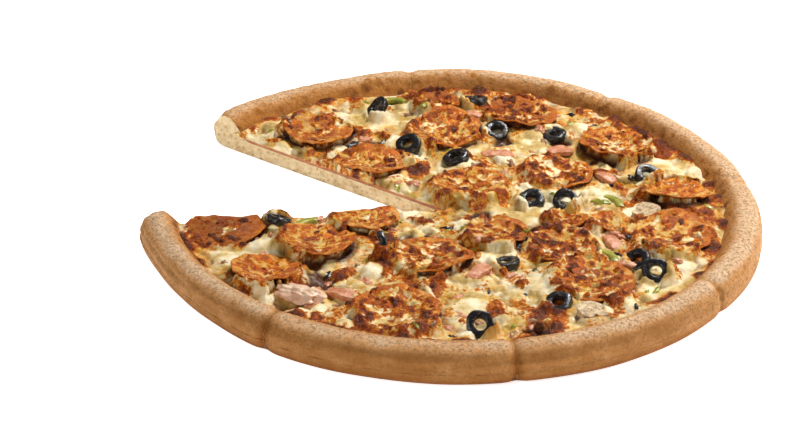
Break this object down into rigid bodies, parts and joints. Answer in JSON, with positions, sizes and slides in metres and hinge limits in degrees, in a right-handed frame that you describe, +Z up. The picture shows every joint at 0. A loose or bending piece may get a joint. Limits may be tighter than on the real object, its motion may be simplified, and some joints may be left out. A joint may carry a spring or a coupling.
{
  "type": "pan pizza",
  "caption": "Round deep pan pizza with a thick rolled rim, melted cheese, pepperoni, olives, ham and peppers, cut into slices, with one slice taken out.",
  "frame": {"origin": "middle of the flat base, at the centre of the bounds, on the surface that the pizza stands on", "axes": "+Z up out of the toppings, the gap of the missing slice opens towards -X"},
  "size_m": [0.3504, 0.3542, 0.0272],
  "materials": {
    "crust": "matt baked bread, golden brown and darker on the crest",
    "sauce": "moist red tomato",
    "cheese": "oily melted cheese with toasted spots",
    "pepperoni": "oily, toasted at the rim",
    "olive": "wet and glossy",
    "ham": "moist",
    "green_pepper": "glossy skin",
    "mushroom": "soft and moist",
    "chicken": "pale and moist"
  },
  "bodies": {
    "root": {"crust_slice_1": "crust", "crust_slice_2": "crust", "crust_slice_3": "crust", "crust_slice_4": "crust", "crust_slice_5": "crust", "crust_slice_6": "crust", "crust_slice_7": "crust", "sauce": "sauce", "cheese": "cheese", "pepperoni_01": "pepperoni", "pepperoni_02": "pepperoni", "pepperoni_03": "pepperoni", "pepperoni_04": "pepperoni", "pepperoni_05": "pepperoni", "pepperoni_06": "pepperoni", "pepperoni_07": "pepperoni", "pepperoni_08": "pepperoni", "pepperoni_09": "pepperoni", "pepperoni_10": "pepperoni", "pepperoni_11": "pepperoni", "pepperoni_12": "pepperoni", "pepperoni_13": "pepperoni", "pepperoni_14": "pepperoni", "pepperoni_15": "pepperoni", "pepperoni_16": "pepperoni", "pepperoni_17": "pepperoni", "pepperoni_18": "pepperoni", "pepperoni_19": "pepperoni", "pepperoni_20": "pepperoni", "pepperoni_21": "pepperoni", "olive_01": "olive", "olive_02": "olive", "olive_03": "olive", "olive_04": "olive", "olive_05": "olive", "olive_06": "olive", "olive_07": "olive", "olive_08": "olive", "olive_09": "olive", "olive_10": "olive", "olive_11": "olive", "olive_12": "olive", "olive_13": "olive", "olive_14": "olive", "olive_15": "olive", "olive_16": "olive", "ham_01": "ham", "ham_02": "ham", "ham_03": "ham", "ham_04": "ham", "ham_05": "ham", "ham_06": "ham", "ham_07": "ham", "pepper_01": "green_pepper", "pepper_02": "green_pepper", "pepper_03": "green_pepper", "pepper_04": "green_pepper", "mushroom_01": "mushroom", "mushroom_02": "mushroom", "chicken_01": "chicken"}
  },
  "joints": []
}
